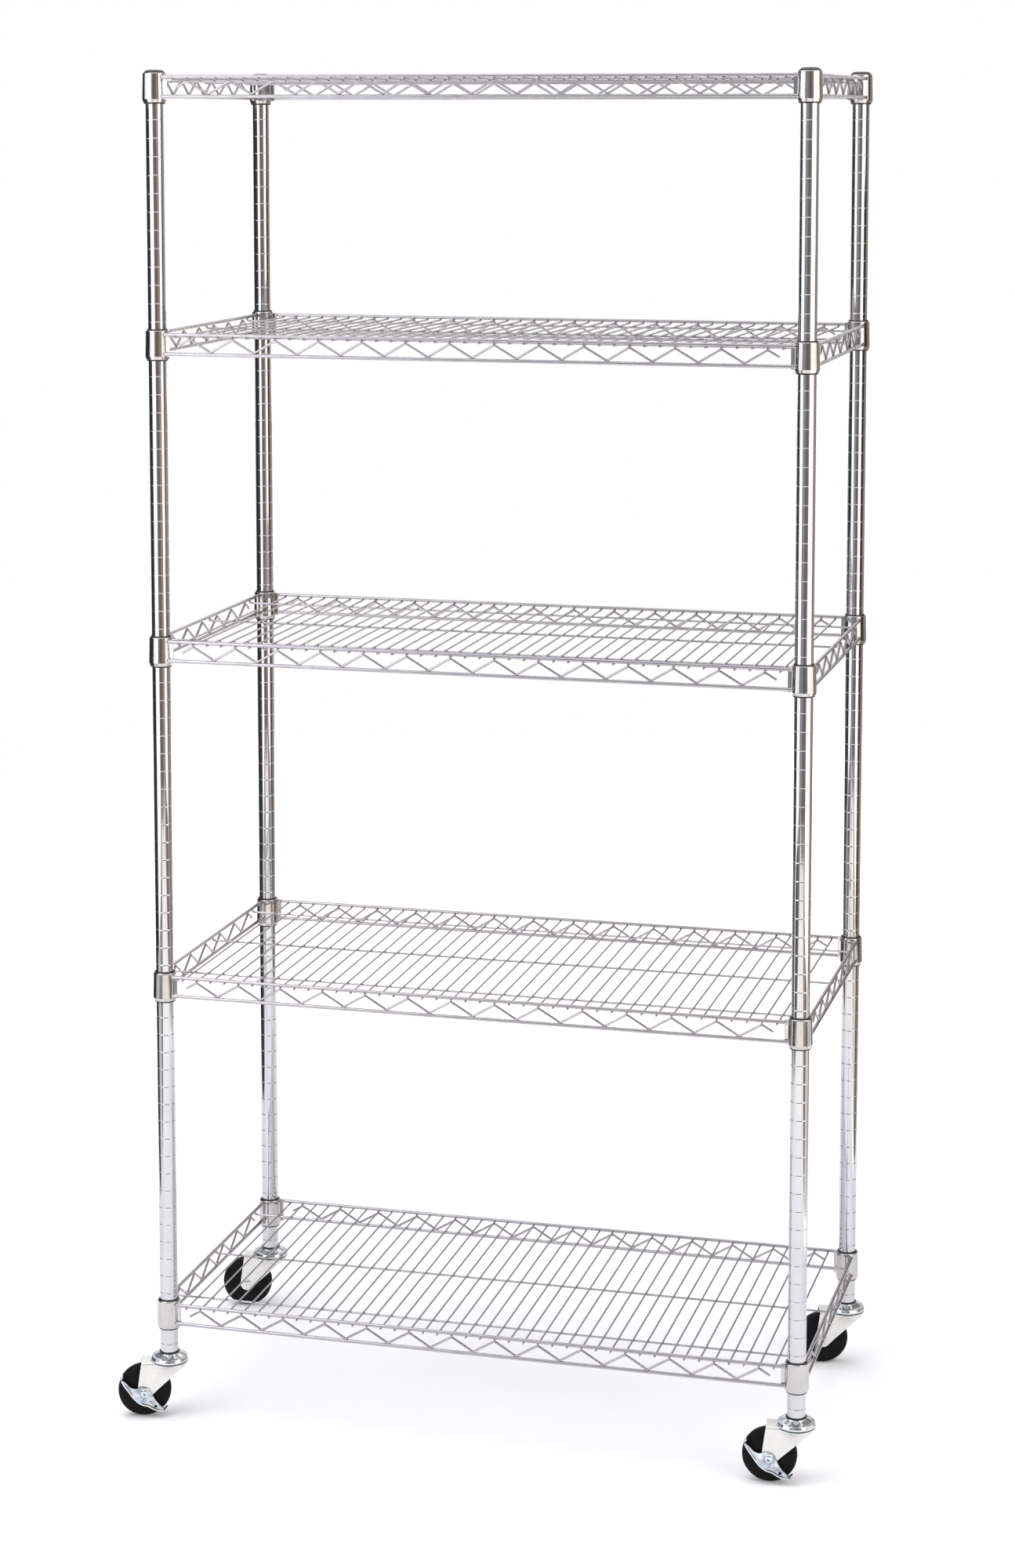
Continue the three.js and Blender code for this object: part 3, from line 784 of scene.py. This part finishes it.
def cup_form():
    """The raceway cup with a skirt over the crown's edge, its king pin, and the post's plug."""
    underside = [(0, 76.6), (5.0, 76.6), (7.0, 78.4), (7.0, 78.9), (5.2, 79.0), (5.2, 82.2)]
    underside += [(25.6, 82.2), (25.6, 81.9)]
    dish = [(CUP_RADIUS, 81.9), (CUP_RADIUS, 84.0), (25.2, 87.3)]
    dish += [(21.4, 87.7), (14.6, 91.2), (13.6, 92.4)]
    plug = [(10.9, 92.4), (10.9, STEM_TOP), (0, STEM_TOP)]
    return Form().add(revolved(underside + rounded(dish, 0.9, 4) + plug, 64))


def gap_shade_form():
    """A dark ring of painted shade in the gap where the cup turns over the crown."""
    profile = [(25.9, 79.9), (26.6, 79.9), (26.6, 81.8), (25.9, 81.8)]
    return Form().add(revolved(profile, 64, ring=True))


def insert_form():
    """The black expanding insert; its flange, a black ring under the post, is also painted shade.
    """
    flange = [(11.05, 92.5), (14.2, 92.5), (14.6, 92.9), (14.4, 94.4), (13.6, POST_FOOT - 0.1)]
    barrel = [(11.4, POST_FOOT - 0.1), (11.4, INSERT_TOP), (11.05, INSERT_TOP)]
    return Form().add(revolved(flange + barrel, 48, ring=True))


def leg_edges(z):
    """The fork leg's left and right edges at a height."""
    drop = WHEEL_RADIUS - z
    reach = sqrt(max(LEG_END**2 - drop**2, 0.01))
    left = -CASTER_TRAIL - reach if drop > 0 else along(LEG_LEFT, z)
    right = -CASTER_TRAIL + reach if z < LEG_RIGHT[0][0] else along(LEG_RIGHT, z)
    return left, right


def crown_half_width(x):
    disc = sqrt(max(CROWN_RADIUS**2 - x * x, 0))
    if x > 0:
        return disc
    return max(LEG_OUTER, disc) if x > CROWN_NECK else LEG_OUTER


def leg_row(z, shares):
    """Points across the front leg at a height, from its left edge to its right one."""
    left, right = leg_edges(z)
    flare = risen(z, FLARE_FOOT, CROWN_TOP - CROWN_BEND) ** 1.6
    crease = -CASTER_TRAIL + RIB_PLACE + (z - WHEEL_RADIUS) * RIB_LEAN
    row = []
    for share in shares:
        x = left + (right - left) * share
        y = LEG_OUTER + (crown_half_width(x) - LEG_OUTER) * flare
        rib = RIB_HEIGHT * exp(-(((x - crease) / RIB_WIDTH) ** 2))
        row.append((x, -y - rib * risen(z, RIB_FOOT, RIB_FULL) * (1 - flare), z))
    return row


def fork_form():
    """The stamped fork: a crown under the cup and two legs that narrow to the axle."""
    shares = [k / FORK_ACROSS for k in range(FORK_ACROSS + 1)]
    upright = CROWN_TOP - CROWN_BEND - LEG_FOOT - LEG_ROUND
    heights = [LEG_FOOT + LEG_ROUND * (k / 9) ** 2 for k in range(9)]
    heights += [LEG_FOOT + LEG_ROUND + upright * k / 24 for k in range(25)]
    rows = [leg_row(z, shares) for z in heights]
    left, right = leg_edges(CROWN_TOP)
    span = [left + (right - left) * share for share in shares]
    for k in range(1, 7):
        a = pi / 2 * k / 6
        inward = CROWN_BEND * (1 - cos(a))
        z = CROWN_TOP - CROWN_BEND + CROWN_BEND * sin(a)
        rows.append([(x, -crown_half_width(x) + inward, z) for x in span])
    for k in range(1, 6):
        share = 1 - k / 5
        rows.append([(x, -(crown_half_width(x) - CROWN_BEND) * share, CROWN_TOP) for x in span])
    mirrored = [[(x, -y, z) for x, y, z in row] for row in reversed(rows[:-1])]
    return Form().add(sheet_metal(rows + mirrored, FORK_SHEET))


def on_axle(shell):
    """A shell drawn about +Z, put on the axle so that +Z faces the front."""
    axle = Matrix.Translation((-CASTER_TRAIL, 0, WHEEL_RADIUS))
    turn = axle @ Matrix.Rotation(pi / 2, 4, "X")
    points, faces = shell
    return [turn @ Vector(p) for p in points], faces


def wheel_form():
    """A solid rubber wheel with rounded shoulders and slightly domed sides."""
    side = [(BUSH_RADIUS + 0.3, WHEEL_HALF - 0.6), (11, WHEEL_HALF - 0.4), (22, WHEEL_HALF)]
    side += [(31, WHEEL_HALF - 1.6), (36.2, WHEEL_HALF - 4.6)]
    side += [(WHEEL_RADIUS - 0.25, WHEEL_HALF - 8.2)]
    front = rounded(side, 4.0, 4)
    back = [(r, -z) for r, z in front]
    tread = [(WHEEL_RADIUS, -1.5), (WHEEL_RADIUS, 1.5)]
    return Form().add(on_axle(revolved(back + tread + front[::-1], 96, ring=True)))


def bush_form():
    """A plain bearing a little longer than the wheel's hub."""
    back = [(AXLE_RADIUS + 0.1, -BUSH_HALF), (BUSH_RADIUS - 0.3, -BUSH_HALF)]
    back += [(BUSH_RADIUS, -BUSH_HALF + 0.3)]
    front = [(r, -z) for r, z in reversed(back)]
    return Form().add(on_axle(revolved(back + front, 32, ring=True)))


def axle_form(front):
    """A tubular rivet through the fork: a rolled head in front and a peened one behind."""
    back = -LEG_OUTER
    tail = [(0, back - 2.0), (2.0, back - 1.9), (4.6, back - 1.3), (HEAD_RADIUS, back - 0.3)]
    tail += [(HEAD_RADIUS, back)]
    shank = [(AXLE_RADIUS - 0.05, back), (AXLE_RADIUS - 0.05, front), (HEAD_RADIUS, front)]
    head = [(HEAD_RADIUS, front + 0.4), (5.1, front + 1.5), (3.6, front + 1.9)]
    hollow = [(2.5, front + 1.2), (2.3, front - 1.0), (0, front - 1.0)]
    return Form().add(on_axle(revolved(tail + shank + head + hollow, 32)))


# ---------------------------------------------------------------- brake levers


def lever_rows():
    """A stamped leaf: its lower edge rolled out, its upper edge turned back to the wheel."""
    columns = []
    for k in range(LEVER_COLUMNS + 1):
        u = LEVER_TIP * (2 * k / LEVER_COLUMNS - 1)
        upper, lower = along(LEVER_UPPER, u), along(LEVER_LOWER, u)
        turned_back = 5.5 * (1 - exp(-(((u - 1) / 13) ** 4))) + 0.4
        column = [(u, LEVER_FACE + 0.4 + turned_back * t, upper) for t in (1, 0.5, 0.12)]
        column.append((u, LEVER_FACE + 0.1, upper - 0.25))
        depth = max(upper - lower - 1.6, 0.2)
        middle_pad = 0.7 * exp(-(((u - 3) / 17) ** 6))
        for t in (0.02, 0.12, 0.25, 0.4, 0.55, 0.68, 0.78, 0.86, 0.93, 1.0):
            pad = middle_pad * exp(-(((t - 0.45) / 0.3) ** 4))
            flare = 0.9 * risen(t, 0.74, 1.0) ** 1.7
            column.append((u, LEVER_FACE - pad - flare, upper - 0.4 - depth * t))
        for proud, rise in ((1.05, 0.6), (0.95, 0.2), (0.5, 0)):
            column.append((u, LEVER_FACE - proud, lower + rise))
        columns.append(column)
    return [list(row) for row in reversed(list(zip(*columns)))]


def drilled(form, holes):
    """The form with round holes bored through it along Y, from (x, z, radius)."""
    drills = Form()
    toward = Matrix.Rotation(pi / 2, 4, "X")
    for x, z, radius in holes:
        bit = revolved([(0, -10), (radius, -10), (radius, 10), (0, 10)], 24)
        drills.add(bit, Matrix.Translation((x, LEVER_FACE, z)) @ toward)
    blank = bpy.data.objects.new("blank", mesh_of("blank", form))
    tool = bpy.data.objects.new("drills", mesh_of("drills", drills))
    bpy.context.scene.collection.objects.link(blank)
    bpy.context.scene.collection.objects.link(tool)
    cut = blank.modifiers.new("cut", "BOOLEAN")
    cut.object = tool
    cut.solver = "EXACT"
    solid = blank.evaluated_get(bpy.context.evaluated_depsgraph_get()).to_mesh()
    points = [v.co / MM for v in solid.vertices]
    result = Form().add((points, [tuple(f.vertices) for f in solid.polygons]))
    bpy.data.objects.remove(blank)
    bpy.data.objects.remove(tool)
    return result


def tilted(form):
    """The form turned to the lever's rest slope and set on the caster's axle."""
    axle = Matrix.Translation((-CASTER_TRAIL, 0, WHEEL_RADIUS))
    place = axle @ Matrix.Rotation(LEVER_TILT, 4, "Y")
    form.points = [place @ p for p in form.points]
    return form


def lever_form():
    """The leaf with its drilled hole, its rivet and a shoe over the tread at each end."""
    leaf = Form().add(sheet_metal(lever_rows(), LEVER_SHEET))
    form = drilled(leaf, [(*LEVER_HOLE, LEVER_HOLE_RADIUS), (0, 0, LEVER_BORE)])
    outline = [(-3.4, -1.0), (3.4, -1.0), (3.4, 8.6), (-3.4, 8.6)]
    shoe = slab(filleted(outline, 1.2, 3, closed=True), -0.8, 0.8, 0.3)
    upright = Matrix.Rotation(pi / 2, 4, "Y")
    for end in (-1, 1):
        form.add(shoe, Matrix.Translation((end * SHOE_PLACE, LEVER_FACE + 1.2, -2.0)) @ upright)
    toward = Matrix.Rotation(pi / 2, 4, "X")
    ring = [(LEVER_BORE, 0), (7.4, 0), (7.4, 0.5), (6.9, 0.9), (LEVER_BORE, 0.9)]
    washer = revolved(ring, 32, ring=True)
    form.add(washer, Matrix.Translation((0, LEVER_FACE - 0.3, 0)) @ toward)
    rivet = revolved([(0, 0), (2.6, 0), (2.6, 0.5), (1.9, 1.2), (0.8, 1.5), (0, 1.5)], 20)
    x, z = LEVER_RIVET
    form.add(rivet, Matrix.Translation((x, LEVER_FACE - 0.2, z)) @ toward)
    return tilted(form)


def lip_form():
    """The bead rolled along the leaf's lower edge, coloured near white as a painted highlight."""
    path = []
    for k in range(LIP_STEPS + 1):
        u = (LEVER_TIP - 0.6) * (2 * k / LIP_STEPS - 1)
        path.append((u, LEVER_FACE, along(LEVER_LOWER, u) + 0.1))
    return tilted(Form().add(tube(path, LIP_RADIUS, 12, 0.3)))


def make_casters():
    """Each caster is turned about its post's axis as it trails in the frame."""
    forms = {
        "cup": cup_form(),
        "gap_shade": gap_shade_form(),
        "insert": insert_form(),
        "fork": fork_form(),
        "tyre": wheel_form(),
        "bush": bush_form(),
        "axle": axle_form(LEG_OUTER),
        "brake_axle": axle_form(-LEVER_FACE + 0.7),
        "lever": lever_form(),
        "lip": lip_form(),
    }
    for corner in CORNERS:
        away = trail(corner)
        turn = Matrix.Rotation(atan2(-away.y, -away.x), 4, "Z")
        place = Matrix.Translation((*POSTS[corner].to_2d(), 0))
        braked = corner in BRAKED

        def part(kind, body, finish, *replaced):
            name = f"{kind}_{corner}"
            form = Form().add((forms[kind].points, forms[kind].faces), turn)
            piece(name, mesh_of(name, form), place, body, finish, *replaced)

        part("cup", "uprights", "cup_zinc", f"caster_stem_{corner}")
        # A dark ring of painted shade in the gap under the cup.
        part("gap_shade", "uprights", "gap_shade_steel")
        # The insert is real black plastic; its flange also stands in as painted shade in the gap
        # at the post's foot.
        part("insert", "uprights", "sleeve_plastic")
        part("fork", f"swivel_{corner}", "zinc_plate", f"caster_fork_{corner}")
        axle = "brake_axle" if braked else "axle"
        part(axle, f"swivel_{corner}", "zinc_bolt", f"caster_axle_{corner}")
        part("bush", f"swivel_{corner}", "bush_plastic", f"wheel_bush_{corner}")
        part("tyre", f"wheel_{corner}", "wheel_rubber", f"wheel_{corner}")
        if braked:
            part("lever", f"brake_{corner}", "brake_steel", f"brake_lever_{corner}")
            # The rolled edge in near-white steel, a painted highlight.
            part("lip", f"brake_{corner}", "lip_painted_highlight", f"brake_lever_{corner}")


# ---------------------------------------------------------------- camera, floor and light


def make_camera():
    data = bpy.data.cameras.new("camera")
    data.lens = CAMERA_LENS
    data.shift_y = CAMERA_SHIFT
    data.clip_end = 200
    camera = bpy.data.objects.new("camera", data)
    x, y, z = CAMERA_FROM_RACK
    camera.location = (RACK_MIDDLE.x + x, RACK_MIDDLE.y + y, z)
    camera.rotation_euler = (pi / 2 - CAMERA_PITCH, 0, CAMERA_YAW)
    bpy.context.scene.collection.objects.link(camera)
    bpy.context.scene.camera = camera


def studio(right, front, up):
    """A place in the studio, in metres right of the rack's middle and towards the camera."""
    c, d = cos(CAMERA_YAW), sin(CAMERA_YAW)
    x = RACK_MIDDLE.x + right * c + front * d
    y = RACK_MIDDLE.y + right * d - front * c
    return Vector((x, y, up))


def make_floor():
    """White paper under the rack, lit through so that only the shadows on it show."""
    material = bpy.data.materials.new("white_paper")
    tree, shader = nodes_of(material)
    tone = ramp(tree, noise(tree, 3.0), PAPER_TONES)
    tree.links.new(tone, shader.inputs["Base Color"])
    shader.inputs["Roughness"].default_value = 0.9
    shader.inputs["Specular IOR Level"].default_value = 0.1
    nearness = tree.nodes.new("ShaderNodeTexGradient")
    nearness.gradient_type = "SPHERICAL"
    scaled = tree.nodes.new("ShaderNodeMapping")
    scaled.inputs["Scale"].default_value = [1 / GLOW_REACH] * 3
    place = tree.nodes.new("ShaderNodeTexCoord")
    tree.links.new(place.outputs["Object"], scaled.inputs["Vector"])
    tree.links.new(scaled.outputs["Vector"], nearness.inputs["Vector"])
    glow = ramp(tree, nearness.outputs["Fac"], PAPER_GLOW)
    tree.links.new(glow, shader.inputs["Emission Color"])
    shader.inputs["Emission Strength"].default_value = 1.0
    mesh = bpy.data.meshes.new("paper")
    half = PAPER_WIDTH / 2
    corners = [(-half, PAPER_FRONT), (half, PAPER_FRONT)]
    corners += [(half, -PAPER_BACK), (-half, -PAPER_BACK)]
    mesh.from_pydata([studio(right, front, 0) for right, front in corners], [], [(0, 1, 2, 3)])
    mesh.materials.append(material)
    floor = bpy.data.objects.new("paper", mesh)
    bpy.context.scene.collection.objects.link(floor)


def aimed(light, place, target):
    """The light in its place in the studio, turned to its target."""
    line = studio(*target) - studio(*place)
    light.rotation_euler = line.to_track_quat("-Z", "Y").to_euler()
    bpy.context.scene.collection.objects.link(light)


def card(name, place, target, width, height, radiance):
    """A glowing panel that the chrome sees and the camera doesn't."""
    data = bpy.data.lights.new(name, "AREA")
    data.shape = "RECTANGLE"
    data.size, data.size_y = width, height
    data.energy = radiance * pi * width * height
    light = bpy.data.objects.new(name, data)
    light.location = studio(*place)
    light.visible_camera = False
    aimed(light, place, target)


def make_lights():
    for row in CARDS:
        card(*row)
    data = bpy.data.lights.new("sun", "SUN")
    data.energy = SUN_STRENGTH
    data.angle = SUN_SPREAD
    sun = bpy.data.objects.new("sun", data)
    sun.visible_glossy = False
    aimed(sun, SUN_FROM, (0, 0, 0))


def make_world():
    """White to the camera, and to the chrome a dim room, bluish at -X and brownish at +X."""
    world = bpy.data.worlds.new("studio")
    bpy.context.scene.world = world
    world.use_nodes = True
    tree = world.node_tree
    nodes, links = tree.nodes, tree.links
    nodes.clear()
    parts = nodes.new("ShaderNodeSeparateXYZ")
    view = nodes.new("ShaderNodeTexCoord")
    links.new(view.outputs["Generated"], parts.inputs["Vector"])
    across = nodes.new("ShaderNodeMath")
    across.operation = "MULTIPLY_ADD"
    links.new(parts.outputs["X"], across.inputs[0])
    across.inputs[1].default_value = 0.5
    across.inputs[2].default_value = 0.5
    walls = ramp(tree, across.outputs[0], ROOM_TONES)
    seen = nodes.new("ShaderNodeMix")
    seen.data_type = "RGBA"
    path = nodes.new("ShaderNodeLightPath")
    links.new(path.outputs["Is Camera Ray"], seen.inputs["Factor"])
    colour_a, colour_b = seen.inputs[6], seen.inputs[7]
    links.new(walls, colour_a)
    colour_b.default_value = (1, 1, 1, 1)
    background = nodes.new("ShaderNodeBackground")
    mixed_colour = seen.outputs[2]
    links.new(mixed_colour, background.inputs["Color"])
    out = nodes.new("ShaderNodeOutputWorld")
    links.new(background.outputs["Background"], out.inputs["Surface"])


make_camera()
make_world()
make_floor()
make_lights()
make_posts()
make_shelves()
make_casters()
bpy.context.scene.view_settings.view_transform = "Standard"
